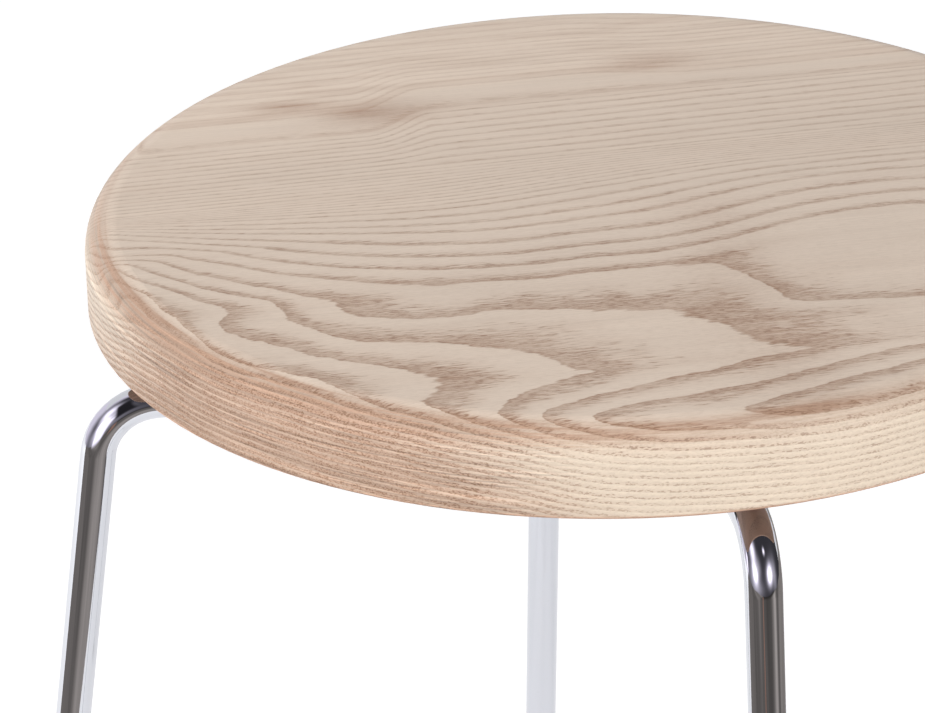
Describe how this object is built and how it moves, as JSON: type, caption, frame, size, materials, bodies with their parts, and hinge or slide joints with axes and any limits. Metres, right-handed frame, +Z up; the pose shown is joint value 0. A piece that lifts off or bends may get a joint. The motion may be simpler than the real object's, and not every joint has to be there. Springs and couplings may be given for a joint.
{
  "type": "low stool",
  "caption": "Low stool with a round solid ash seat on two bent chromed tubes that cross under it and splay out as legs.",
  "frame": {"origin": "on the floor, under the middle of the round seat", "axes": "+Z up, +Y from the front leg to the back leg along the upper tube, +X from the left leg to the right leg along the lower tube"},
  "size_m": [0.4696, 0.473, 0.44],
  "materials": {
    "ash": "matt soap or clear lacquer on open-pored ash",
    "chrome": "bright chromium plate",
    "weld": "plated weld bead",
    "saddle_plastic": "moulded, fine texture",
    "screw_steel": "bright zinc plate",
    "brass": "turned",
    "glide_plastic": "moulded, worn under the foot"
  },
  "bodies": {
    "root": {"seat": "ash", "upper_leg_tube": "chrome", "lower_leg_tube": "chrome", "crossing_weld": "weld", "saddle_front": "saddle_plastic", "washer_front": "screw_steel", "screw_front": "screw_steel", "insert_front": "brass", "glide_front": "glide_plastic", "saddle_back": "saddle_plastic", "washer_back": "screw_steel", "screw_back": "screw_steel", "insert_back": "brass", "glide_back": "glide_plastic", "saddle_left": "saddle_plastic", "washer_left": "screw_steel", "screw_left": "screw_steel", "insert_left": "brass", "glide_left": "glide_plastic", "saddle_right": "saddle_plastic", "washer_right": "screw_steel", "screw_right": "screw_steel", "insert_right": "brass", "glide_right": "glide_plastic"}
  },
  "joints": []
}
